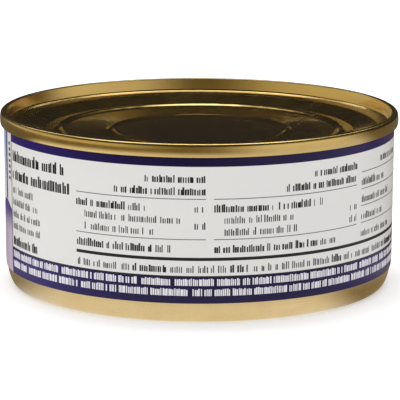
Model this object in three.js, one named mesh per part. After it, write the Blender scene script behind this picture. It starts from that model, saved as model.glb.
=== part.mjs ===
// A shallow round food can of the 307 x 108 size, shut and full: a drawn metal cup with a
// stepped-in base, a beaded end held on by a double seam, and a paper label wrapped round the wall.
// Millimetres, +Z up. The origin is the middle of the circle that the can stands on.
import * as THREE from "three";

// Driving dimensions
const canHeight = 38.1;
const seamDiameter = 87.3;
const labelDiameterTop = 85.6;
const labelDiameterBase = 85.2;

// The label: paper on the wall, from just under the seam to where the base begins to turn in
const labelThickness = 0.12;
const labelGap = 0.05;
const labelBottom = 4.4;

// The double seam and the wall inside it
const seamHeight = 2.9;
const seamThickness = 1.4;
const seamCurl = 0.35;
const seamBulge = 0.08;
const seamGap = 0.15;

// The end's pressed sheet, measured down from the top of the seam
const sheetThickness = 0.35;
const ledgeDepth = 3.0;
const ledgeOuterRadius = 41.5;
const ledgeInnerRadius = 38.8;
const ledgeEdgeRound = 1.2;
const stepTilt = 20;
const panelDepth = 4.45;
const panelRadius = 34.6;
const wallFillet = 0.95;
const endGap = 0.3;

// Stiffening beads, the same rings on the end and under the base
const beads = [
  { radius: 19.4, width: 3.0, height: 0.35 },
  { radius: 30.5, width: 3.6, height: 0.5 },
];

// The base: the wall turns in to a flat foot ring that nests inside the seam of a can below
const cornerWidth = 1.95;
const cornerHeight = 6.5;
const footWidth = 1.6;
const baseRecess = 1.3;
const baseRecessSlope = 0.9;

const segments = 72;

const seamOuterRadius = seamDiameter / 2;
const seamBottom = canHeight - seamHeight;
const ledgeZ = canHeight - ledgeDepth;
const panelZ = canHeight - panelDepth;
const bodyInset = labelThickness + labelGap;
const bodyRadiusBase = labelDiameterBase / 2 - bodyInset;
const bodyRadiusTop = labelDiameterTop / 2 - bodyInset;
const footOuterRadius = bodyRadiusBase - cornerWidth;
const footInnerRadius = footOuterRadius - footWidth;
const labelTop = seamBottom - seamGap;

const point = (r, z) => new THREE.Vector2(r, z);

// Points on an ellipse's arc about (r, z), from one angle to another in degrees, ends included.
function arc(r, z, radiusR, radiusZ, fromDegrees, toDegrees, steps) {
  return Array.from({ length: steps + 1 }, (_, i) => {
    const angle = THREE.MathUtils.degToRad(fromDegrees + ((toDegrees - fromDegrees) * i) / steps);
    return point(r + radiusR * Math.cos(angle), z + radiusZ * Math.sin(angle));
  });
}

// A rounded ridge across a flat ring at height z: half a cosine wave up and down.
function beadRidge(bead, z, direction, steps) {
  return Array.from({ length: steps + 1 }, (_, i) => {
    const share = i / steps;
    const rise = (bead.height * (1 - Math.cos(2 * Math.PI * share))) / 2;
    return point(bead.radius + bead.width * (share - 0.5), z + direction * rise);
  });
}

// A solid of revolution about Z from a profile of (radius, height) points that closes on the axis.
function revolve(profile) {
  return new THREE.LatheGeometry(profile, segments).rotateX(Math.PI / 2);
}

function namedMesh(name, geometry, material) {
  const mesh = new THREE.Mesh(geometry, material);
  mesh.name = name;
  return mesh;
}

// The wall's radius at a height: it draws in slightly towards the base.
function wallRadius(z) {
  const share = (z - cornerHeight) / (seamBottom - cornerHeight);
  return THREE.MathUtils.lerp(bodyRadiusBase, bodyRadiusTop, share);
}

// The cup with its contents, as one solid: the underside, the base corner, the wall and the flat top
// that lies just under the pressed end.
function bodyProfile() {
  const topUnderPanel = panelZ - sheetThickness - endGap;
  const topUnderLedge = ledgeZ - sheetThickness - endGap;
  const bodyTop = seamBottom - seamGap;
  return [
    point(0, baseRecess),
    ...beads.flatMap((bead) => beadRidge(bead, baseRecess, -1, 6)),
    point(footInnerRadius - baseRecessSlope, baseRecess),
    point(footInnerRadius, 0),
    ...arc(footOuterRadius, cornerHeight, cornerWidth, cornerHeight, -90, 0, 9),
    point(bodyRadiusTop, bodyTop),
    point(ledgeOuterRadius + sheetThickness, bodyTop),
    point(ledgeOuterRadius, topUnderLedge),
    point(ledgeInnerRadius, topUnderLedge),
    point(panelRadius, topUnderPanel),
    point(0, topUnderPanel),
  ];
}

// The end: the beaded panel, the slope up to the ledge, the wall up to the seam's crest, the seam's
// outer face and rolled foot, and back under the sheet.
function endProfile() {
  const crest = seamThickness / 2;
  const edge = ledgeEdgeRound;
  const bulgeRadius = seamOuterRadius - seamBulge;
  const bottomInnerRadius = ledgeOuterRadius + sheetThickness;
  return [
    point(0, panelZ - sheetThickness),
    point(panelRadius - sheetThickness, panelZ - sheetThickness),
    point(ledgeInnerRadius - sheetThickness, ledgeZ - sheetThickness),
    point(ledgeOuterRadius, ledgeZ - sheetThickness),
    point(bottomInnerRadius, seamBottom),
    ...arc(bulgeRadius - seamCurl, seamBottom + seamCurl, seamCurl, seamCurl, -90, 0, 3),
    point(seamOuterRadius, seamBottom + seamHeight / 2),
    ...arc(seamOuterRadius - crest, canHeight - crest, crest, crest, 0, 180, 8),
    point(ledgeOuterRadius, ledgeZ + wallFillet),
    ...arc(ledgeOuterRadius - wallFillet, ledgeZ + wallFillet, wallFillet, wallFillet, -30, -90, 3),
    ...arc(ledgeInnerRadius, ledgeZ - edge, edge, edge, 90, 90 + stepTilt, 2),
    point(panelRadius, panelZ),
    ...beads.flatMap((bead) => beadRidge(bead, panelZ, 1, 8)).reverse(),
    point(0, panelZ),
  ];
}

// The label: a thin sleeve that follows the wall's draft.
function labelProfile() {
  const innerBottom = wallRadius(labelBottom) + labelGap;
  const innerTop = wallRadius(labelTop) + labelGap;
  return [
    point(innerBottom, labelBottom),
    point(innerBottom + labelThickness, labelBottom),
    point(innerTop + labelThickness, labelTop),
    point(innerTop, labelTop),
    point(innerBottom, labelBottom),
  ];
}

const goldLacquer = new THREE.MeshStandardMaterial({ color: 0xb89b62, roughness: 0.3, metalness: 1 });
const goldLacquerEnd = new THREE.MeshStandardMaterial({ color: 0xb28f4e, roughness: 0.25, metalness: 1 });
const labelPaper = new THREE.MeshStandardMaterial({ color: 0xdcd9d6, roughness: 0.35, metalness: 0 });

const can = new THREE.Group();
can.add(
  namedMesh("can_body", revolve(bodyProfile()), goldLacquer),
  namedMesh("can_end", revolve(endProfile()), goldLacquerEnd),
  namedMesh("label", revolve(labelProfile()), labelPaper),
);

export default can;
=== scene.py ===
# A shut, full tuna can: gold-lacquered tin with a beaded end, a double seam and a printed paper label.
# Shapes are worked out in millimetres and written to the meshes in metres.
import math
import random

import bpy
from mathutils import Matrix, Vector, noise


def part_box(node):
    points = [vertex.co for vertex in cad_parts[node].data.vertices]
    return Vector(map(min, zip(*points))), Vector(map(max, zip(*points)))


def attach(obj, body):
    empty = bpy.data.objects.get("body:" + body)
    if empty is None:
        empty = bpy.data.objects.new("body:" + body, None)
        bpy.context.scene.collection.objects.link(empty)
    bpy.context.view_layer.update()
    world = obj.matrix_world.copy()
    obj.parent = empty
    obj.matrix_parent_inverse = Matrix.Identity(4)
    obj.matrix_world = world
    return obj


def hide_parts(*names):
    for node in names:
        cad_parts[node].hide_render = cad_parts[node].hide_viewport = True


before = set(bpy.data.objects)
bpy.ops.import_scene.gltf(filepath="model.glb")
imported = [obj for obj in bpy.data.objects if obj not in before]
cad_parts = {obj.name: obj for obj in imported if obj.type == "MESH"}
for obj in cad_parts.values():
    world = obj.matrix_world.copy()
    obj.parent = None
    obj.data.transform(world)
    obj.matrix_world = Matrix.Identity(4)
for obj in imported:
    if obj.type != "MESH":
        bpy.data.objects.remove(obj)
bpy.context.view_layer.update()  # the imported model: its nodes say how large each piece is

mm = 0.001

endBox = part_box("can_end")
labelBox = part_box("label")

can = {
    "height": endBox[1].z / mm,
    "seamRadius": endBox[1].x / mm,
    "labelRadius": labelBox[1].x / mm,
    "labelTop": labelBox[1].z / mm,
    "labelBottom": labelBox[0].z / mm,
    "draft": 0.2,            # the wall is this much narrower at its foot
    "cornerWidth": 2.13,     # the base corner is a quarter ellipse
    "cornerHeight": 6.5,
    "segments": 360,
}


# Shapes
def arc(r, z, radius, fromDegrees, toDegrees, steps):
    # points on a round corner about (r, z)
    turns = [math.radians(fromDegrees + (toDegrees - fromDegrees) * i / steps) for i in range(steps + 1)]
    return [(r + radius * math.cos(t), z + radius * math.sin(t)) for t in turns]


def beadRidge(bead, z, direction, steps=24):
    # a rounded ridge on a flat ring: half a cosine wave up and down, from the inside outwards
    points = []
    for i in range(steps + 1):
        along = 2 * i / steps - 1
        rise = bead["height"] * (1 + math.cos(math.pi * along)) / 2
        side = bead["inner"] if along < 0 else bead["outer"]
        points.append((bead["radius"] + side * along, z + direction * rise))
    return points


def wallRadius(z):
    # the label's surface: a slight draft down the wall, then the turn in to the base
    share = (z - can["cornerHeight"]) / (can["labelTop"] - can["cornerHeight"])
    radius = can["labelRadius"] - can["draft"] * (1 - max(share, 0))
    if z >= can["cornerHeight"]:
        return radius
    drop = min((can["cornerHeight"] - z) / can["cornerHeight"], 1)
    return radius - can["cornerWidth"] * (1 - math.sqrt(1 - drop * drop))


def meshObject(name, points, faces, sharpAngle=35):
    mesh = bpy.data.meshes.new(name)
    mesh.from_pydata([Vector(p) * mm for p in points], [], faces)
    mesh.validate()
    mesh.shade_smooth()
    mesh.set_sharp_from_angle(angle=math.radians(sharpAngle))
    made = bpy.data.objects.new(name, mesh)
    bpy.context.scene.collection.objects.link(made)
    return made


def revolve(name, profile, unevenness=None):
    # a closed solid of revolution; the profile starts and ends on the axis, with the solid on its left
    count = can["segments"]
    points, rings, faces = [], [], []
    for r, z in profile:
        first = len(points)
        if r < 1e-6:
            pole = Vector((0, 0, z))
            points.append(unevenness(pole, r, 0) if unevenness else pole)
            rings.append([first] * count)
            continue
        for i in range(count):
            turn = 2 * math.pi * i / count
            spot = Vector((r * math.cos(turn), r * math.sin(turn), z))
            points.append(unevenness(spot, r, turn) if unevenness else spot)
        rings.append(range(first, first + count))
    for low, high in zip(rings, rings[1:]):
        for i in range(count):
            j = (i + 1) % count
            corners = [low[i], low[j], high[j], high[i]]
            faces.append(list(dict.fromkeys(corners)))
    return meshObject(name, points, faces)


# The drawn cup with its contents
bodySizes = {
    "clear": 0.18,           # from the label's surface in to the tin
    "footWidth": 1.6,
    "recess": 1.3,
    "recessSlope": 0.9,
    "cornerSteps": 30,
    "seamGap": 0.15,         # the wall ends this far below the seam
    "fillRadius": 41.5,      # the contents' edge under the ledge
    "topClear": 0.3,         # between the contents' flat top and the end's underside
}

# The pressed end and its double seam; depths are measured down from the seam's top
endSizes = {
    "seamHeight": 2.9,
    "crestRound": 0.7,
    "crestInner": 0.25,
    "crestFlat": 0.45,
    "curlRound": 0.35,
    "faceTilt": 11,          # how far the seam's face leans at its top and bottom edges, in degrees
    "wallTilt": 9,           # the wall inside the seam leans out by this, in degrees
    "wallFillet": 0.6,
    "ledgeDepth": 2.85,
    "ledgeRadius": 39.3,     # where the ledge begins to turn down to the panel
    "ledgeRound": 5.0,
    "stepTilt": 19.5,
    "stepFoot": 1.0,
    "panelDepth": 4.45,
    "dish": 0.35,            # the vacuum inside draws the panel's middle down
    "dishRadius": 28.0,
    "sheet": 0.35,
    "wave": 0.05,            # height of the panel's long waves
    "waveScale": 0.07,       # the less, the longer the waves
    "waveFade": 4.0,         # the waves die out this far inside the step
    "ripple": 0.05,          # unevenness of the outer bead
    "ripples": 14,           # the more, the shorter the ripples
}

# How many stretches each round part of the end's outline has
endSteps = {"curl": 8, "face": 14, "crest": 16, "lip": 10, "fillet": 12, "ledge": 8, "foot": 8, "centre": 8}

# The stiffening beads; a bead's inner and outer sides have their own widths
beads = [
    {"radius": 19.4, "inner": 1.3, "outer": 1.3, "height": 0.36},
    {"radius": 31.1, "inner": 1.7, "outer": 2.2, "height": 0.6},
]


def stepFootRadius():
    # where the slope below the ledge meets the flat panel
    sizes = endSizes
    tilt = math.radians(sizes["stepTilt"])
    rounds = sizes["ledgeRound"] + sizes["stepFoot"]
    drop = sizes["panelDepth"] - sizes["ledgeDepth"] - rounds * (1 - math.cos(tilt))
    return sizes["ledgeRadius"] - rounds * math.sin(tilt) - drop / math.tan(tilt)


def makeBody():
    seamBottom = can["height"] - endSizes["seamHeight"]
    ledgeZ = can["height"] - endSizes["ledgeDepth"] - endSizes["sheet"] - bodySizes["topClear"]
    panelZ = can["height"] - endSizes["panelDepth"] - endSizes["sheet"] - bodySizes["topClear"]
    footOuter = wallRadius(0) - bodySizes["clear"]
    footInner = footOuter - bodySizes["footWidth"]
    recess = bodySizes["recess"]
    profile = [(0, recess)]
    for bead in beads:
        profile += beadRidge(bead, recess, -1)
    profile += [(footInner - bodySizes["recessSlope"], recess), (footInner, 0)]
    steps = bodySizes["cornerSteps"]
    for i in range(steps + 1):
        turn = math.pi / 2 * i / steps
        z = can["cornerHeight"] * (1 - math.cos(turn))
        profile.append((wallRadius(z) - bodySizes["clear"], z))
    bodyTop = seamBottom - bodySizes["seamGap"]
    fill = bodySizes["fillRadius"]
    profile += [
        (wallRadius(bodyTop) - bodySizes["clear"], bodyTop),
        (fill + endSizes["sheet"], bodyTop),
        (fill, ledgeZ),
        (endSizes["ledgeRadius"], ledgeZ),
        (stepFootRadius(), panelZ),
        (endSizes["dishRadius"], panelZ),
        (0, panelZ - endSizes["dish"]),
    ]
    return revolve("canBody", profile)


def endProfile():
    sizes = endSizes
    top = can["height"]
    tilt = sizes["faceTilt"]
    wallTilt = math.radians(sizes["wallTilt"])
    crest, curl, fillet = sizes["crestRound"], sizes["curlRound"], sizes["wallFillet"]
    ledgeZ, panelZ = top - sizes["ledgeDepth"], top - sizes["panelDepth"]
    seamBottom = top - sizes["seamHeight"]

    # the seam's outer face bulges: an arc between the curl at its foot and the crest
    crestZ, curlZ = top - crest, seamBottom + curl
    lean = math.radians(tilt)
    faceTop, faceBottom = crestZ + crest * math.sin(lean), curlZ - curl * math.sin(lean)
    faceRound = (faceTop - faceBottom) / 2 / math.sin(lean)
    faceCentre = (can["seamRadius"] - faceRound, (faceTop + faceBottom) / 2)
    faceEdge = can["seamRadius"] - faceRound * (1 - math.cos(lean))
    crestR, curlR = faceEdge - crest * math.cos(lean), faceEdge - curl * math.cos(lean)

    # the wall inside the seam runs straight from the crest to the fillet at the ledge
    inner = sizes["crestInner"]
    innerR, innerZ = crestR - sizes["crestFlat"], top - inner
    wallTop = (innerR - inner * math.cos(wallTilt), innerZ + inner * math.sin(wallTilt))
    wallFootZ = ledgeZ + fillet * (1 - math.sin(wallTilt))
    wallFootR = wallTop[0] - math.tan(wallTilt) * (wallTop[1] - wallFootZ)
    filletR = wallFootR - fillet * math.cos(wallTilt)

    edge, foot, stepTilt = sizes["ledgeRound"], sizes["stepFoot"], sizes["stepTilt"]
    profile = [
        (0, panelZ - sizes["dish"] - sizes["sheet"]),
        (sizes["dishRadius"], panelZ - sizes["sheet"]),
        (stepFootRadius() - sizes["sheet"] / 2, panelZ - sizes["sheet"]),
        (sizes["ledgeRadius"] - sizes["sheet"] / 2, ledgeZ - sizes["sheet"]),
        (filletR + fillet, ledgeZ - sizes["sheet"]),
        (filletR + fillet + sizes["sheet"], seamBottom),
    ]
    steps = endSteps
    profile += arc(curlR, curlZ, curl, -90, -tilt, steps["curl"])
    profile += arc(*faceCentre, faceRound, -tilt, tilt, steps["face"])[1:-1]
    profile += arc(crestR, crestZ, crest, tilt, 90, steps["crest"])
    profile += arc(innerR, innerZ, inner, 90, 180 - sizes["wallTilt"], steps["lip"])
    profile += arc(filletR, ledgeZ + fillet, fillet, -sizes["wallTilt"], -90, steps["fillet"])
    profile += arc(sizes["ledgeRadius"], ledgeZ - edge, edge, 90, 90 + stepTilt, steps["ledge"])
    profile += arc(stepFootRadius(), panelZ + foot, foot, stepTilt - 90, -90, steps["foot"])
    for bead in reversed(beads):
        profile += reversed(beadRidge(bead, panelZ, 1))
    rings = steps["centre"]
    profile += [(beads[0]["radius"] * ring / rings, panelZ) for ring in reversed(range(rings))]
    return profile


def endUnevenness(spot, r, turn):
    # pressed tin is never quite flat: long waves on the panel, short ripples on the outer bead
    sizes = endSizes
    foot = stepFootRadius()
    if r > foot or spot.z < can["height"] - sizes["panelDepth"] - sizes["sheet"] / 2:
        return spot
    sag = sizes["dish"] * max(0, 1 - (r / sizes["dishRadius"]) ** 2)
    wave = noise.noise(spot * sizes["waveScale"]) * sizes["wave"]
    fade = min(1, (foot - r) / sizes["waveFade"])
    bead = beads[1]
    onBead = max(0, 1 - abs(r - bead["radius"]) / bead["inner"])
    along = Vector((math.cos(turn), math.sin(turn), 0)) * sizes["ripples"]
    ripple = noise.noise(along) * sizes["ripple"] * onBead
    return spot + Vector((0, 0, wave * fade + ripple - sag))


# The paper label: its outer end lies over the other end, left of the printed panel
labelSizes = {
    "paper": 0.07,
    "edgeAt": -52.85,        # the outer end, along the wall from the middle of the front
    "lap": 8.0,
    "lapGap": 0.01,
    "dip": 5.0,              # over this length the under end drops below the outer one
    "columns": 400,
    "rows": 30,
}
wrapRadius = can["labelRadius"] - can["draft"] / 2


def onWall(s, z, lift=0):
    # a point on the label, s millimetres to the right of the middle of the front
    turn = s / wrapRadius
    radius = wallRadius(z) + lift
    return Vector((radius * math.sin(turn), -radius * math.cos(turn), z))


def makeLabel():
    paper = labelSizes["paper"]
    around = 2 * math.pi * wrapRadius
    length = around + labelSizes["lap"]
    columns, rows = labelSizes["columns"], labelSizes["rows"]
    points, faces = [], []
    for i in range(columns + 1):
        along = length * i / columns
        s = labelSizes["edgeAt"] + along
        under = min(max((along - around + labelSizes["dip"]) / labelSizes["dip"], 0), 1)
        drop = (paper + labelSizes["lapGap"]) * under * under * (3 - 2 * under)
        for depth in (0, paper):
            for j in range(rows + 1):
                z = can["labelBottom"] + (can["labelTop"] - can["labelBottom"]) * j / rows
                points.append(onWall(s, z, -drop - depth))

    def outer(i, j):
        return i * 2 * (rows + 1) + j

    def inner(i, j):
        return outer(i, j) + rows + 1

    for i in range(columns):
        for j in range(rows):
            faces.append((outer(i, j), outer(i + 1, j), outer(i + 1, j + 1), outer(i, j + 1)))
            faces.append((inner(i, j), inner(i, j + 1), inner(i + 1, j + 1), inner(i + 1, j)))
        faces.append((outer(i, 0), inner(i, 0), inner(i + 1, 0), outer(i + 1, 0)))
        faces.append((outer(i, rows), outer(i + 1, rows), inner(i + 1, rows), inner(i, rows)))
    for j in range(rows):
        faces.append((outer(0, j), outer(0, j + 1), inner(0, j + 1), inner(0, j)))
        faces.append((outer(columns, j), inner(columns, j), inner(columns, j + 1), outer(columns, j + 1)))
    return meshObject("paperLabel", points, faces, 50)


# Print: plain shapes of ink laid on the paper. Places are millimetres along the wall from the middle of
# the front, and heights.
printSizes = {
    "ink": 0.02,             # how far the ink reaches out of the paper and into it
    "step": 0.8,             # longest flat stretch of a curved bar
    "panelLeft": labelSizes["edgeAt"],
    "panelRight": 74.0,
    "bandTop": 33.25,        # the purple bands lie above and below these heights
    "bandBottom": 10.15,
    "seed": 4,
}

# The printed panel's columns, from the left edge to the right edge of each, and its lines
panel = {
    "first": (-27.4, 1.45),
    "second": (3.1, 38.2),
    "third": (39.9, 72.0),
    "titleIndent": 1.1,
    "leading": 2.6,          # from one row of a column's head down to the next
    "headAt": 29.9,
    "thirdHead": (8.5, 30.1),  # indent and height
    "thirdRowsAt": 26.1,
    "thirdLeading": 3.68,
    "footLine": (-27.2, 10.95),
    "ruleHeights": (26.4, 17.9),
    "thirdRulesAt": 28.9,
    "thirdRulePitch": 3.65,
    "rule": 0.17,
    "bar": 0.66,
    "barAt": 13.5,
    "outline": 0.28,
    "outlineInset": 0.1,
}

# Sizes of print: height, distance between strokes, their thickness, the gap between groups and how tall
# a short stroke is
styles = {
    "title": {"height": 2.6, "pitch": 1.44, "stroke": 0.50, "gap": 0.9, "short": 0.76},
    "large": {"height": 2.1, "pitch": 1.12, "stroke": 0.40, "gap": 0.7, "short": 0.76},
    "bold": {"height": 1.72, "pitch": 0.97, "stroke": 0.33, "gap": 0.6, "short": 0.76},
    "fine": {"height": 1.62, "pitch": 0.9, "stroke": 0.22, "gap": 0.65, "short": 0.76},
    "even": {"height": 1.55, "pitch": 0.83, "stroke": 0.29, "gap": 0.46, "short": 1.0},
    "tiny": {"height": 0.8, "pitch": 0.55, "stroke": 0.12, "gap": 0.35, "short": 0.8},
}


def groupCells(s, z, runs, right=None):
    # one cell for each stroke of each group; runs holds (style, group lengths) in turn
    cells = []
    for styleName, groups in runs:
        style = styles[styleName]
        for length in groups:
            for _ in range(length):
                cells.append((s + style["pitch"] / 2, z, style))
                s += style["pitch"]
            s += style["gap"]
    if right is not None:
        shift = right - (s - style["gap"])
        cells = [(at + shift, z, style) for at, z, style in cells]
    return cells


# The block at the panel's left: each row's height, style and group lengths
titleRows = [
    (29.3, "title", [9, 5]),
    (25.4, "title", [6, 9]),
    (22.3, "fine", [3, 3, 4]),
    (19.7, "fine", [7, 3, 2]),
    (17.1, "fine", [4, 3, 6]),
    (14.5, "fine", [8, 3, 2]),
    (10.95, "large", [8, 2]),
]

# Rows of the two middle columns: height, indent, runs of groups, and the height of the short pair set to
# the right, where there is one
firstRows = [
    (23.7, 0, [("bold", [3]), ("fine", [1]), ("bold", [7]), ("fine", [3, 1])], 23.7),
    (21.3, 2.1, [("fine", [9, 1, 7, 3, 1])], 20.1),
    (18.75, 2.1, [("fine", [1, 5, 1, 5, 1, 1])], None),
    (15.15, 0, [("bold", [7]), ("fine", [1]), ("bold", [9]), ("fine", [2, 1])], None),
]
secondRows = [
    (23.7, 0, [("bold", [12]), ("fine", [1]), ("bold", [8]), ("fine", [1, 1])], None),
    (21.3, 2.1, [("fine", [5, 1, 6, 1, 1])], 21.3),
    (18.75, 2.1, [("fine", [6, 1, 6, 1, 1])], 18.75),
    (15.15, 0, [("bold", [11]), ("fine", [1]), ("bold", [11]), ("fine", [2, 2])], None),
]

# Rows of the last column, and the runs of the row at the panel's foot
thirdRows = [
    [("bold", [6]), ("fine", [2, 2])],
    [("fine", [9, 3, 2])],
    [("fine", [7, 1, 2])],
    [("fine", [4, 1, 3, 3, 2])],
]
footRuns = [
    ("fine", [1, 2, 2, 4, 2]), ("bold", [1, 6]), ("fine", [3, 2, 4, 2]), ("bold", [1, 3]),
    ("fine", [1, 1, 1, 1, 2, 5, 5]), ("bold", [3]), ("fine", [2, 1, 2, 4, 5]), ("bold", [8]),
    ("fine", [2, 4]),
]


def titleCells():
    left = printSizes["panelLeft"] + panel["titleIndent"]
    cells = []
    for z, styleName, groups in titleRows:
        cells += groupCells(left, z, [(styleName, groups)])
    return cells


def columnCells(left, right, rows):
    # a column of the panel: two rows set to the right, then rows set to the left with their short pairs
    top = panel["headAt"]
    cells = []
    cells += groupCells(0, top, [("fine", [1]), ("bold", [5, 6])], right)
    cells += groupCells(0, top - panel["leading"], [("fine", [1]), ("bold", [6, 12])], right)
    for z, indent, runs, pairAt in rows:
        cells += groupCells(left + indent, z, runs)
        if pairAt is not None:
            cells += groupCells(0, pairAt, [("fine", [1, 1])], right)
    return cells


def lastColumnCells(left, right):
    indent, top = panel["thirdHead"]
    cells = groupCells(left + indent, top, [("bold", [1, 4]), ("fine", [1, 4])])
    for row, runs in enumerate(thirdRows):
        z = panel["thirdRowsAt"] - panel["thirdLeading"] * row
        cells += groupCells(left, z, runs)
        cells += groupCells(0, z, [("fine", [1, 1])], right)
    return cells


# Two full rows of even height across the lower band, with groups drawn at random
bandRows = {"heights": (8.2, 6.05), "leftInset": 0.9, "rightInset": 3, "shortest": 2, "longest": 10}


def bandCells(rng):
    sizes = bandRows
    even = styles["even"]
    cells = []
    for z in sizes["heights"]:
        s = printSizes["panelLeft"] + sizes["leftInset"]
        while s < printSizes["panelRight"] - sizes["rightInset"]:
            group = groupCells(s, z, [("even", [rng.randint(sizes["shortest"], sizes["longest"])])])
            cells += group
            s = group[-1][0] + even["pitch"] / 2 + even["gap"]
    return cells


# Short rows of tiny strokes up the plain margin beside the panel
marginRows = {"count": 7, "top": 32.2, "pitch": 1.25, "outset": 2.3, "strokes": 3}


def marginCells():
    rows = marginRows
    left = printSizes["panelLeft"] - rows["outset"]
    cells = []
    for row in range(rows["count"]):
        cells += groupCells(left, rows["top"] - rows["pitch"] * row, [("tiny", [rows["strokes"]])])
    return cells


class Wire:
    # one output of a node, usable in sums; works in shader and in geometry trees
    def __init__(self, tree, socket):
        self.tree = tree
        self.socket = socket

    def node(self, kind, settings=None, inputs=None, output=0):
        made = self.tree.nodes.new(kind)
        for key, value in (settings or {}).items():
            setattr(made, key, value)
        for key, value in (inputs or {}).items():
            if isinstance(value, Wire):
                self.tree.links.new(value.socket, made.inputs[key])
            else:
                made.inputs[key].default_value = value
        return Wire(self.tree, made.outputs[output]) if len(made.outputs) else None

    def math(self, operation, *values):
        return self.node("ShaderNodeMath", {"operation": operation}, dict(enumerate(values)))

    def __add__(self, other):
        return self.math("ADD", self, other)

    def __radd__(self, other):
        return self.math("ADD", other, self)

    def __sub__(self, other):
        return self.math("SUBTRACT", self, other)

    def __rsub__(self, other):
        return self.math("SUBTRACT", other, self)

    def __mul__(self, other):
        return self.math("MULTIPLY", self, other)

    def __rmul__(self, other):
        return self.math("MULTIPLY", other, self)

    def __truediv__(self, other):
        return self.math("DIVIDE", self, other)

    def __gt__(self, other):
        return self.math("GREATER_THAN", self, other)

    def __lt__(self, other):
        return self.math("LESS_THAN", self, other)

    def smooth(self, low, high, fromValue=0.0, toValue=1.0):
        # eases from one value to another while this one goes from low to high
        inputs = {0: self, 1: low, 2: high, 3: fromValue, 4: toValue}
        return self.node("ShaderNodeMapRange", {"interpolation_type": "SMOOTHSTEP"}, inputs)

    def between(self, low, high, soft=0.04):
        return self.smooth(low - soft, low + soft) * self.smooth(high - soft, high + soft, 1.0, 0.0)

    def parts(self):
        split = self.node("ShaderNodeSeparateXYZ", inputs={0: self})
        return [Wire(self.tree, s) for s in split.socket.node.outputs]

    def join(self, x, y, z):
        return self.node("ShaderNodeCombineXYZ", inputs={0: x, 1: y, 2: z})

    def noise(self, scale, detail=3.0, roughness=0.5):
        inputs = {"Vector": self, "Scale": scale, "Detail": detail, "Roughness": roughness}
        return self.node("ShaderNodeTexNoise", inputs=inputs)

    def blend(self, first, second):
        # a colour between two, by this factor
        inputs = {0: self, 6: colour(first), 7: colour(second)}
        return self.node("ShaderNodeMix", {"data_type": "RGBA"}, inputs, 2)


def colour(value):
    if isinstance(value, Wire) or len(value) == 4:
        return value
    return (*value, 1.0)


def fromAxis(x, y):
    # the distance from the can's axis
    square = x * x + y * y
    return square.math("SQRT", square)


# Each cell becomes one or two upright bars, with their heights, widths and places drawn at random
markSizes = {
    "spread": 0.25,          # the two bars' places in the cell, as a share of its width
    "jitter": 0.08,
    "tallShare": 0.35,
    "skipShare": 0.12,       # this share of the second bars is left out
    "shortest": 0.82,
    "thinnest": 0.75,
    "thickest": 1.25,
}


def buildMarkTree():
    tree = bpy.data.node_groups.new("printMarks", "GeometryNodeTree")
    tree.is_modifier = True
    sockets = tree.interface
    sockets.new_socket("Geometry", in_out="INPUT", socket_type="NodeSocketGeometry")
    numbers = ["Wrap Radius", "Wall Radius", "Wall Lean", "Ink Depth"]
    numbers += ["Spread", "Jitter", "Tall Share", "Skip Share", "Shortest", "Thinnest", "Thickest"]
    for name in numbers:
        sockets.new_socket(name, in_out="INPUT", socket_type="NodeSocketFloat")
    sockets.new_socket("Seed", in_out="INPUT", socket_type="NodeSocketInt")
    sockets.new_socket("Ink", in_out="INPUT", socket_type="NodeSocketMaterial")
    sockets.new_socket("Geometry", in_out="OUTPUT", socket_type="NodeSocketGeometry")
    entry = tree.nodes.new("NodeGroupInput")
    given = {s.name: Wire(tree, s) for s in entry.outputs}
    cells = given["Geometry"]

    width, height, stroke, short = [
        cells.node("GeometryNodeInputNamedAttribute", {"data_type": "FLOAT"}, {"Name": name})
        for name in ("cellWidth", "cellHeight", "stroke", "short")
    ]
    bar = cells.node("GeometryNodeMeshCube", inputs={"Size": (1, 1, 1)})
    joined = tree.nodes.new("GeometryNodeJoinGeometry")

    def draw(salt, low=0.0, high=1.0):
        inputs = {2: low, 3: high, "Seed": given["Seed"] + salt}
        return cells.node("FunctionNodeRandomValue", {"data_type": "FLOAT"}, inputs, 1)

    for side, salt in ((-1, 0), (1, 10)):
        tall = draw(salt) < given["Tall Share"]
        length = height * (short + (1 - short) * tall) * draw(salt + 1, given["Shortest"], 1.0)
        across = width * (given["Spread"] * side + given["Jitter"] * draw(salt + 2, -1.0, 1.0))
        offset = cells.join(across, 0.0, length / 2)
        moved = cells.node("GeometryNodeSetPosition", inputs={"Geometry": cells, "Offset": offset})
        thickness = stroke * draw(salt + 4, given["Thinnest"], given["Thickest"])
        inputs = {
            "Points": moved,
            "Selection": draw(salt + 3) > given["Skip Share"] * (side > 0),
            "Instance": bar,
            "Scale": cells.join(thickness, given["Ink Depth"], length),
        }
        bars = moved.node("GeometryNodeInstanceOnPoints", inputs=inputs)
        tree.links.new(bars.socket, joined.inputs[0])
    solid = cells.node("GeometryNodeRealizeInstances", inputs={0: Wire(tree, joined.outputs[0])})

    # the flat row is wrapped round the wall
    x, y, z = cells.node("GeometryNodeInputPosition").parts()
    turn = x / given["Wrap Radius"]
    radius = given["Wall Radius"] + z * given["Wall Lean"] + y
    sine, cosine = turn.math("SINE", turn), turn.math("COSINE", turn)
    onTheWall = cells.join(radius * sine, radius * cosine * -1, z)
    wrapped = solid.node("GeometryNodeSetPosition", inputs={"Geometry": solid, "Position": onTheWall})
    inked = wrapped.node("GeometryNodeSetMaterial", inputs={"Geometry": wrapped, "Material": given["Ink"]})
    out = tree.nodes.new("NodeGroupOutput")
    tree.links.new(inked.socket, out.inputs[0])
    return tree


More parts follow.
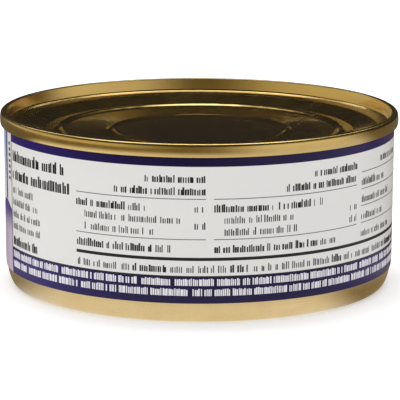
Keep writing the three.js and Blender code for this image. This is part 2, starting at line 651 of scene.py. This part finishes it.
def makeMarks(name, cells, tree, ink, seed):
    # the cells become points with their sizes as attributes, and the tree's result a plain mesh
    mesh = bpy.data.meshes.new(name + "Cells")
    mesh.from_pydata([(s * mm, 0, z * mm) for s, z, _ in cells], [], [])
    sizes = {
        "cellWidth": ("pitch", mm),
        "cellHeight": ("height", mm),
        "stroke": ("stroke", mm),
        "short": ("short", 1),
    }
    for attribute, (key, unit) in sizes.items():
        layer = mesh.attributes.new(attribute, "FLOAT", "POINT")
        layer.data.foreach_set("value", [style[key] * unit for _, _, style in cells])
    holder = bpy.data.objects.new(name + "Cells", mesh)
    bpy.context.scene.collection.objects.link(holder)

    lean = can["draft"] / (can["labelTop"] - can["cornerHeight"])
    foot = can["labelRadius"] - can["draft"] - can["cornerHeight"] * lean
    settings = {
        "Wrap Radius": wrapRadius * mm,
        "Wall Radius": foot * mm,
        "Wall Lean": lean,
        "Ink Depth": 2 * printSizes["ink"] * mm,
        "Spread": markSizes["spread"],
        "Jitter": markSizes["jitter"],
        "Tall Share": markSizes["tallShare"],
        "Skip Share": markSizes["skipShare"],
        "Shortest": markSizes["shortest"],
        "Thinnest": markSizes["thinnest"],
        "Thickest": markSizes["thickest"],
        "Seed": seed,
        "Ink": ink,
    }
    modifier = holder.modifiers.new("marks", "NODES")
    modifier.node_group = tree
    for socket in tree.interface.items_tree:
        if socket.in_out == "INPUT" and socket.name in settings:
            modifier[socket.identifier] = settings[socket.name]
    depsgraph = bpy.context.evaluated_depsgraph_get()
    plain = bpy.data.meshes.new_from_object(holder.evaluated_get(depsgraph))
    plain.name = name
    bpy.data.objects.remove(holder)
    made = bpy.data.objects.new(name, plain)
    bpy.context.scene.collection.objects.link(made)
    return made


def wrappedShapes(name, shapes):
    # thin flat shapes on the wall; each is a list of columns (s, low edge, high edge)
    points, faces = [], []
    ink = printSizes["ink"]
    for shape in shapes:
        first = len(points)
        for s, low, high in shape:
            points += [onWall(s, low, ink), onWall(s, high, ink), onWall(s, high, -ink), onWall(s, low, -ink)]
        for i in range(len(shape) - 1):
            a, b = first + 4 * i, first + 4 * (i + 1)
            for k in range(4):
                n = (k + 1) % 4
                faces.append((a + k, b + k, b + n, a + n))
        end = first + 4 * (len(shape) - 1)
        faces.append((first, first + 1, first + 2, first + 3))
        faces.append((end + 3, end + 2, end + 1, end))
    return meshObject(name, points, faces)


def span(start, end, low, high):
    # a bar with straight edges, in short flat stretches
    steps = max(1, math.ceil((end - start) / printSizes["step"]))
    return [(start + (end - start) * i / steps, low, high) for i in range(steps + 1)]


def ruleShapes():
    rule = panel["rule"]
    shapes = []
    for left, right in (panel["first"], panel["second"]):
        for z in panel["ruleHeights"]:
            shapes.append(span(left, right, z, z + rule))
    for row in range(len(thirdRows)):
        z = panel["thirdRulesAt"] - panel["thirdRulePitch"] * row
        shapes.append(span(*panel["third"], z, z + rule))
    return shapes


def heavyShapes():
    # the thick line of the panel, and the dark edge of the lower band
    bar = span(panel["first"][0], panel["third"][1], panel["barAt"], panel["barAt"] + panel["bar"])
    half = panel["outline"] / 2
    low, high = printSizes["bandBottom"] - half, printSizes["bandBottom"] + half
    outline = span(printSizes["panelLeft"] + panel["outlineInset"], printSizes["panelRight"], low, high)
    return [bar, outline]


# The far side of the label: a plain sea under a pale sky
seaSizes = {
    "centre": 142.6,         # the middle of the far design, along the wall from the middle of the front
    "halfWidth": 58.0,
    "surface": 19.0,
    "waves": 22,             # whole waves round the can, so the line meets itself at the back
    "waveHeight": 0.9,
    "lines": ((15.4, 0.9), (11.8, 1.8), (8.2, 2.7)),  # height and shift of each line on the water
    "line": 0.5,
    "taper": 12.0,           # a line thins out over this length
    "tip": 0.15,             # and this share of its thickness is left at its ends
}


def waveLine(level, shift):
    # a wavy stripe that thins out towards both ends
    sizes = seaSizes
    columns = []
    steps = round(2 * sizes["halfWidth"] / printSizes["step"])
    for i in range(steps + 1):
        s = sizes["centre"] - sizes["halfWidth"] + 2 * sizes["halfWidth"] * i / steps
        swell = sizes["waveHeight"] * math.sin(sizes["waves"] * s / wrapRadius + shift)
        fromEnd = min(i, steps - i) * printSizes["step"]
        half = sizes["line"] / 2 * min(1, sizes["tip"] + fromEnd / sizes["taper"])
        columns.append((s, level + swell - half, level + swell + half))
    return columns


# A simple fish, seen from the side; shares are of its length, and heights of its half height
fishSizes = {
    "length": 30.0,
    "height": 8.4,
    "at": 26.4,
    "bodyEnd": 0.86,
    "bodyPower": 0.75,       # the less, the blunter the head
    "bodyTaper": 0.35,
    "tailStart": 0.8,
    "tailPower": 1.3,
    "tailHeight": 0.8,
    "thinnest": 0.05,
    "steps": 72,
}


def fishShape():
    # body and tail as one outline: the half height at each place along the fish
    sizes = fishSizes
    columns = []
    steps = sizes["steps"]
    for i in range(steps + 1):
        share = i / steps
        swell = math.sin(math.pi * min(share / sizes["bodyEnd"], 1))
        body = swell ** sizes["bodyPower"] * (1 - sizes["bodyTaper"] * share)
        along = max(0, (share - sizes["tailStart"]) / (1 - sizes["tailStart"]))
        tail = sizes["tailHeight"] * along ** sizes["tailPower"]
        half = sizes["height"] / 2 * max(body, tail, sizes["thinnest"])
        s = seaSizes["centre"] + sizes["length"] * (share - 0.5)
        columns.append((s, sizes["at"] - half, sizes["at"] + half))
    return columns


# Finishes: lacquered tin on the cup and on the end
goldBody = {
    "light": (0.72, 0.55, 0.27),
    "deep": (0.62, 0.45, 0.19),
    "roughness": 0.27,
    "wallRoughness": 0.27,
    "coat": 1.45,
    "relief": 0.005,
}
goldEnd = {
    "light": (0.84, 0.60, 0.19),
    "deep": (0.76, 0.51, 0.13),
    "roughness": 0.16,
    "wallRoughness": 0.24,   # the sheet is stretched more where it is drawn into the seam
    "coat": 1.65,            # the lacquer's index of refraction
    "relief": 0.008,         # depth of the bump, in millimetres
}

# How fast the tin's patterns change, per millimetre or per radius round the can
tinScales = {
    "lineTurn": 3,           # the lines left by drawing run round the can
    "line": 9,
    "cloud": 0.16,
    "smudgeTurn": 12,
    "smudge": 0.35,
    "grain": 0.05,           # the rolled sheet's grain runs from left to right on the panel
    "grainAcross": 3.2,
    "panelEdge": (38.0, 39.0),
    "wallEdge": (40.5, 41.5),
}

# The coated paper and its colours
paperPrint = {
    "white": (0.80, 0.785, 0.765),
    "purple": (0.008, 0.003, 0.045),
    # painted sheen: the purple bands are painted lighter towards the left and right, where light falls on the
    # glossy paper
    "purpleSheenLeft": (0.018, 0.008, 0.13),
    "purpleSheenRight": (0.035, 0.020, 0.12),
    "sheenLeftTurn": (-48, -8),
    "sheenRightTurn": (20, 60),
    "sky": (0.42, 0.50, 0.83),
    "heights": (20.0, 34.0),  # the sky turns blue upwards between these
    "navy": (0.020, 0.030, 0.20),
    "sea": (0.085, 0.05, 0.27),
    "shallow": (0.56, 0.48, 0.62),
    "depths": (12.5, 18.5),  # the sea pales downwards between these heights
    # a dark stripe down the paper's outer end: partly a printed border, partly painted shadow of the lapped
    # edge
    "edgeLineAndShadow": (0.01, 0.008, 0.025),
    "edgeLineAndShadowWidth": 0.4,
    "roughness": 0.24,
    "strip": 3.3,            # the plain margin beside the paper's outer end
    "stripFoot": 20.6,
    "darkBar": (1.8, 0.4),   # the dark bar beyond it, from one edge to the other
    "darkBarFoot": 20.0,
    "soft": 0.1,
    "fibre": 2.2,            # scales of the paper's fibre and of its clouds
    "cloud": 0.08,
    "relief": 0.01,
}


def newMaterial(name):
    material = bpy.data.materials.new(name)
    material.use_nodes = True
    tree = material.node_tree
    tree.nodes.clear()
    coordinates = tree.nodes.new("ShaderNodeTexCoord")
    start = Wire(tree, coordinates.outputs["Object"])
    inMillimetres = start.node("ShaderNodeVectorMath", {"operation": "SCALE"}, {0: start, "Scale": 1 / mm})
    return material, inMillimetres


def finishMaterial(material, start, fixed, driven):
    surface = start.node("ShaderNodeBsdfPrincipled", inputs={**fixed, **driven})
    start.node("ShaderNodeOutputMaterial", inputs={"Surface": surface})
    return material


def bump(start, height, strength, distance):
    inputs = {"Strength": strength, "Distance": distance * mm, "Height": height}
    return start.node("ShaderNodeBump", inputs=inputs)


def goldMaterial(name, finish, rolled):
    # tin under clear lacquer: drawn lines round the can, grain on the flat panel, clouds and smudges
    scales = tinScales
    material, start = newMaterial(name)
    x, y, z = start.parts()
    radius = fromAxis(x, y)
    sine, cosine = x / (radius + 0.001), y / (radius + 0.001)
    turn = scales["lineTurn"]
    lines = start.join(sine * turn, cosine * turn, (z + radius) * scales["line"]).noise(1.0, 4.0, 0.6)
    cloud = start.noise(scales["cloud"], 3.0)
    turn = scales["smudgeTurn"]
    smudge = start.join(sine * turn, cosine * turn, z * scales["smudge"]).noise(1.0, 3.0)
    if rolled:
        along = scales["grain"]
        grain = start.join(x * along, y * scales["grainAcross"], z * along).noise(1.0, 3.0, 0.6)
        flat = radius.smooth(*scales["panelEdge"], 1.0, 0.0)
        texture = flat * grain + (1 - flat) * lines
    else:
        texture = lines
    tone = (0.45 * texture + 0.35 * cloud + 0.2 * smudge).smooth(0.3, 0.7)
    even = radius.smooth(*scales["wallEdge"], finish["roughness"], finish["wallRoughness"])
    driven = {
        "Base Color": tone.blend(finish["deep"], finish["light"]),
        "Roughness": even + 0.10 * (texture - 0.5) + 0.08 * (cloud - 0.5) + 0.05 * (smudge - 0.5),
        "Normal": bump(start, texture * 0.6 + smudge * 0.4, 0.5, finish["relief"]),
    }
    fixed = {"Metallic": 1.0, "Coat Weight": 1.0, "Coat IOR": finish["coat"], "Coat Roughness": 0.05}
    return finishMaterial(material, start, fixed, driven)


def labelMaterial():
    finish = paperPrint
    soft = finish["soft"]
    material, start = newMaterial("printedPaper")
    x, y, z = start.parts()
    s = x.math("ARCTAN2", x, y * -1) * wrapRadius
    onPanel = s.between(printSizes["panelLeft"], printSizes["panelRight"])
    bands = 1 - z.between(printSizes["bandBottom"], printSizes["bandTop"])
    fibre = start.noise(finish["fibre"], 4.0, 0.6)
    cloud = start.noise(finish["cloud"], 2.0)
    white = cloud.blend([0.97 * c for c in finish["white"]], finish["white"])
    # the purple is painted lighter towards the left and right sides: painted sheen
    ink = s.smooth(*finish["sheenLeftTurn"]).blend(finish["purpleSheenLeft"], finish["purple"])
    ink = s.smooth(*finish["sheenRightTurn"]).blend(ink, finish["purpleSheenRight"])
    panelColour = bands.blend(white, ink)
    # dark stripe at the paper's outer end: partly printed border, partly painted shadow of the lapped edge
    edgeLineAndShadow = s.between(printSizes["panelLeft"], printSizes["panelLeft"] + finish["edgeLineAndShadowWidth"])
    panelColour = edgeLineAndShadow.blend(panelColour, finish["edgeLineAndShadow"])

    # the far design: sky above, sea below a wavy line, and a plain margin beside the panel
    swell = s.math("SINE", s * (seaSizes["waves"] / wrapRadius))
    sea = (z - seaSizes["surface"] - swell * seaSizes["waveHeight"]).smooth(-0.05, 0.05, 1.0, 0.0)
    sky = z.smooth(*finish["heights"]).blend(finish["white"], finish["sky"])
    water = z.smooth(*finish["depths"]).blend(finish["shallow"], finish["sea"])
    far = sea.blend(sky, water)
    stripLeft = printSizes["panelLeft"] - finish["strip"]
    overStrip = z.smooth(finish["stripFoot"] - soft, finish["stripFoot"] + soft)
    strip = s.between(stripLeft, printSizes["panelLeft"]) * overStrip
    left, right = [stripLeft - edge for edge in finish["darkBar"]]
    overFoot = z.smooth(finish["darkBarFoot"] - soft, finish["darkBarFoot"] + soft)
    darkBar = s.between(left, right) * overFoot
    far = darkBar.blend(far, finish["navy"])
    far = strip.blend(far, finish["white"])
    driven = {
        "Base Color": onPanel.blend(far, panelColour),
        "Roughness": finish["roughness"] + 0.10 * (fibre - 0.5) + 0.06 * (cloud - 0.5),
        "Normal": bump(start, fibre, 0.35, finish["relief"]),
    }
    fixed = {"Specular IOR Level": 0.34, "Coat Weight": 0.0, "IOR": 1.45}
    return finishMaterial(material, start, fixed, driven)


# The inks that lie on the paper
inkFinish = {"roughness": 0.3, "mottle": 3.0, "thin": 0.8, "thick": 1.15, "relief": 0.006}


def inkMaterial(name, tint):
    # printing ink, slightly mottled where the paper takes more or less of it
    finish = inkFinish
    material, start = newMaterial(name)
    mottle = start.noise(finish["mottle"], 3.0)
    thin, thick = [[min(1, finish[key] * c) for c in tint] for key in ("thin", "thick")]
    driven = {
        "Base Color": mottle.blend(thin, thick),
        "Roughness": finish["roughness"] + 0.12 * (mottle - 0.5),
        "Normal": bump(start, mottle, 0.2, finish["relief"]),
    }
    return finishMaterial(material, start, {"Specular IOR Level": 0.3}, driven)


def place(piece, material, slotName, *replaced):
    # gives a piece its one material and sets it into the frame
    piece.data.materials.clear()
    piece.data.materials.append(material)
    if replaced:
        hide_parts(*replaced)
    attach(piece, "root")
    print("made", piece.name, len(piece.data.polygons), "faces")


# The pieces
place(makeBody(), goldMaterial("goldTinWall", goldBody, False), "gold_body", "can_body")
canEnd = revolve("canEnd", endProfile(), endUnevenness)
place(canEnd, goldMaterial("goldTinEnd", goldEnd, True), "gold_end", "can_end")
place(makeLabel(), labelMaterial(), "label_paper", "label")

darkInk = inkMaterial("darkInk", (0.012, 0.011, 0.013))
greyInk = inkMaterial("greyInk", (0.16, 0.155, 0.16))
whiteInk = inkMaterial("bareWhite", (0.84, 0.82, 0.88))
navyInk = inkMaterial("navyInk", paperPrint["navy"])
seaInk = inkMaterial("seaInk", paperPrint["sea"])

rng = random.Random(printSizes["seed"])
markTree = buildMarkTree()
panelCells = titleCells()
panelCells += columnCells(*panel["first"], firstRows)
panelCells += columnCells(*panel["second"], secondRows)
panelCells += lastColumnCells(*panel["third"])
panelCells += groupCells(*panel["footLine"], footRuns)
place(makeMarks("darkMarks", panelCells, markTree, darkInk, 1), darkInk, "label_paper")
place(makeMarks("whiteMarks", bandCells(rng), markTree, whiteInk, 2), whiteInk, "label_paper")
place(makeMarks("marginMarks", marginCells(), markTree, greyInk, 3), greyInk, "label_paper")
place(wrappedShapes("thinRules", ruleShapes()), greyInk, "label_paper")
place(wrappedShapes("heavyBar", heavyShapes()), darkInk, "label_paper")
waves = [waveLine(level, shift) for level, shift in seaSizes["lines"]]
place(wrappedShapes("waveLines", waves), seaInk, "label_paper")
place(wrappedShapes("fishMark", [fishShape()]), navyInk, "label_paper")

# Stage: a pale floor, a white backdrop for the camera and a dim room with soft boxes for the reflections
studio = {
    "floorSize": 6.0,        # metres
    "floorTone": 0.9,
    "glow": 0.2,             # the floor's own light, on the can and as the camera sees it
    "glowSeen": 0.34,
    "fillLeft": 0.94,        # the room's even light on what isn't mirrored
    "fillRight": 0.65,
    "boxDistance": 0.8,      # metres from the can to each soft box
    "aimHeight": 0.03,       # the soft boxes point here, in metres over the floor
}

# The floor as the tin mirrors it is painted light: bright close by, painted shade beside the can, dimmer
# farther out and behind the can, and painted brighter again towards the right-hand wall. Distances in metres,
# azimuths in degrees.
pool = {
    "near": (1.0, 0.98, 0.95),
    "nearEdge": (0.044, 0.062),
    "nearEdges": (-82, -46, 36, 62),
    # painted shade on the floor beside the can, seen only in the tin's reflections
    "beside": (0.27, 0.21, 0.11),
    "middle": (0.70, 0.69, 0.74),
    "middleLeft": (0.92, 0.90, 0.92),
    "middleEdge": (0.10, 0.19),
    "middleTurn": (-0.08, 0.0),
    "backEdge": (-0.03, 0.005),
    "backTurn": 0.2,         # the shade reaches farther forward on the right
    "far": (0.14, 0.11, 0.06),
    "farRight": (0.66, 0.64, 0.66),
    "rightEdges": (0, 45, 86, 112),
}

# What the tin mirrors: soft bright walls low at the left and right with a dimmer glow above them, a dim
# gap behind the camera and a dark back. Angles are azimuths from the camera's side towards the right,
# in degrees.
room = {
    "dark": (0.016, 0.014, 0.012),
    "gap": (0.17, 0.13, 0.07),
    "gapEdge": (85, 125),
    "left": (0.66, 0.60, 0.40),
    "leftEdges": (-160, -124, -58, -4),
    "right": (0.80, 0.75, 0.64),
    "rightEdges": (0, 42, 80, 118),
    "topEdge": (10, 20),     # elevations between which the low walls fade
    "tallLeft": (0.26, 0.23, 0.15),
    "tallLeftEdges": (-158, -132, -98, -66),
    "tallRight": (0.20, 0.18, 0.12),
    "tallRightEdges": (30, 62, 90, 116),
    "tallTop": (30, 44),     # and those between which the glow above them fades
}


def lobe(turn, edges):
    # one over a range of azimuths, easing to nothing on both sides
    low, full, end, last = [math.radians(edge) for edge in edges]
    return turn.smooth(low, full) * turn.smooth(end, last, 1.0, 0.0)


def makeFloor():
    half = studio["floorSize"] / 2
    mesh = bpy.data.meshes.new("floor")
    corners = [(-half, -half, 0), (half, -half, 0), (half, half, 0), (-half, half, 0)]
    mesh.from_pydata(corners, [], [(0, 1, 2, 3)])
    floor = bpy.data.objects.new("floor", mesh)
    bpy.context.scene.collection.objects.link(floor)
    material = bpy.data.materials.new("paleFloor")
    material.use_nodes = True
    tree = material.node_tree
    tree.nodes.clear()
    start = Wire(tree, tree.nodes.new("ShaderNodeTexCoord").outputs["Object"])
    x, y, z = start.parts()
    away = fromAxis(x, y)
    rays = tree.nodes.new("ShaderNodeLightPath")
    mirrored = Wire(tree, rays.outputs["Is Glossy Ray"])
    front = (y + x * pool["backTurn"]).smooth(*pool["backEdge"], 1.0, 0.0)
    turn = x.math("ARCTAN2", x, y * -1)
    tint = lobe(turn, pool["rightEdges"]).blend(pool["far"], pool["farRight"])
    middle = x.smooth(*pool["middleTurn"]).blend(pool["middleLeft"], pool["middle"])
    tint = (away.smooth(*pool["middleEdge"], 1.0, 0.0) * front).blend(tint, middle)
    # painted shade beside the can and painted light in front of it, both seen only in reflections
    near = lobe(turn, pool["nearEdges"]).blend(pool["beside"], pool["near"])
    tint = away.smooth(*pool["nearEdge"], 1.0, 0.0).blend(tint, near)
    tone = studio["floorTone"]
    pale = start.node("ShaderNodeBsdfDiffuse", inputs={"Color": (tone, tone, tone, 1)})
    seen = Wire(tree, rays.outputs["Is Camera Ray"])
    strength = studio["glow"] + seen * (studio["glowSeen"] - studio["glow"])
    glow = start.node("ShaderNodeEmission", inputs={"Color": (1, 1, 1, 1), "Strength": strength})
    lit = start.node("ShaderNodeAddShader", inputs={0: pale, 1: glow})
    shown = start.node("ShaderNodeEmission", inputs={"Color": tint, "Strength": 1.0})
    mixed = start.node("ShaderNodeMixShader", inputs={0: mirrored, 1: lit, 2: shown})
    start.node("ShaderNodeOutputMaterial", inputs={"Surface": mixed})
    mesh.materials.append(material)


def softBox(name, box):
    # a soft box aimed at the can; its place and its width and height are angles seen from the can
    distance = studio["boxDistance"]
    turn, rise = math.radians(box["azimuth"]), math.radians(box["elevation"])
    back = Vector((math.sin(turn) * math.cos(rise), -math.cos(turn) * math.cos(rise), math.sin(rise)))
    lamp = bpy.data.lights.new(name, "AREA")
    lamp.shape = "RECTANGLE"
    lamp.size = 2 * distance * math.tan(math.radians(box["across"] / 2))
    lamp.size_y = 2 * distance * math.tan(math.radians(box["tall"] / 2))
    lamp.energy = box["glow"] * lamp.size * lamp.size_y * math.pi
    lamp.color = box["tint"]
    light = bpy.data.objects.new(name, lamp)
    bpy.context.scene.collection.objects.link(light)
    light.rotation_mode = "QUATERNION"
    light.rotation_quaternion = back.to_track_quat("Z", "Y")
    light.location = back * distance + Vector((0, 0, studio["aimHeight"]))
    light.visible_camera = False


def makeRoom():
    world = bpy.data.worlds.new("studio")
    bpy.context.scene.world = world
    world.use_nodes = True
    tree = world.node_tree
    tree.nodes.clear()
    rays = tree.nodes.new("ShaderNodeLightPath")
    seen = Wire(tree, rays.outputs["Is Camera Ray"])
    mirrored = Wire(tree, rays.outputs["Is Glossy Ray"])
    ahead = Wire(tree, tree.nodes.new("ShaderNodeTexCoord").outputs["Generated"])
    x, y, z = ahead.parts()
    turn = x.math("ARCTAN2", x, y * -1)

    def below(elevations):
        # one under the first elevation, nothing over the second
        return z.smooth(*(math.sin(math.radians(edge)) for edge in elevations), 1.0, 0.0)

    low = below(room["topEdge"])
    high = below(room["tallTop"]) * (1 - low)
    gap = turn.math("ABSOLUTE", turn).smooth(*(math.radians(edge) for edge in room["gapEdge"]), 1.0, 0.0)
    tone = (low * gap).blend(room["dark"], room["gap"])
    tone = (low * lobe(turn, room["leftEdges"])).blend(tone, room["left"])
    tone = (low * lobe(turn, room["rightEdges"])).blend(tone, room["right"])
    tone = (high * lobe(turn, room["tallLeftEdges"])).blend(tone, room["tallLeft"])
    tone = (high * lobe(turn, room["tallRightEdges"])).blend(tone, room["tallRight"])
    white = seen.node("ShaderNodeBackground", inputs={"Color": (1, 1, 1, 1), "Strength": 1.0})
    soft = x.smooth(-1.0, 1.0, studio["fillLeft"], studio["fillRight"])
    fill = seen.node("ShaderNodeBackground", inputs={"Color": (1, 1, 1, 1), "Strength": soft})
    dim = seen.node("ShaderNodeBackground", inputs={"Color": tone, "Strength": 1.0})
    around = seen.node("ShaderNodeMixShader", inputs={0: mirrored, 1: fill, 2: dim})
    mixed = seen.node("ShaderNodeMixShader", inputs={0: seen, 1: around, 2: white})
    seen.node("ShaderNodeOutputWorld", inputs={"Surface": mixed})


# The ceiling box draws the bright lines on the beads at the back, and the narrow boxes those at their ends
warm = (1, 0.97, 0.9)
softBoxes = {
    "ceiling": {"azimuth": 180, "elevation": 75, "across": 54, "tall": 30, "glow": 2.0, "tint": (1, 1, 1)},
    "backLeft": {"azimuth": -150, "elevation": 43, "across": 9, "tall": 24, "glow": 1.7, "tint": warm},
    "backRight": {"azimuth": 150, "elevation": 43, "across": 9, "tall": 24, "glow": 1.1, "tint": warm},
}

makeFloor()
makeRoom()
for name, box in softBoxes.items():
    softBox(name, box)

# Camera: the photo's place and lens
view = {
    "at": (0.0, -601.8, 140.3),
    "pitchDown": 11.52,      # degrees
    "roll": 0.2,
    "focalPixels": 2781.0,
    "imageSide": 400,
    "axisOffsetPixels": 1.09,  # the can stands this far left of the picture's middle
    "sensor": 36,            # millimetres
}


def makeCamera():
    lens = bpy.data.cameras.new("camera")
    lens.sensor_width = view["sensor"]
    lens.lens = view["focalPixels"] * lens.sensor_width / view["imageSide"]
    lens.shift_x = view["axisOffsetPixels"] / view["imageSide"]
    camera = bpy.data.objects.new("camera", lens)
    bpy.context.scene.collection.objects.link(camera)
    stand = Matrix.Translation(Vector(view["at"]) * mm)
    tilt = Matrix.Rotation(math.radians(90 - view["pitchDown"]), 4, "X")
    roll = Matrix.Rotation(math.radians(view["roll"]), 4, "Z")
    camera.matrix_world = stand @ tilt @ roll
    bpy.context.scene.camera = camera


makeCamera()
bpy.context.scene.view_settings.view_transform = "Standard"
print("stage, lights and camera set")
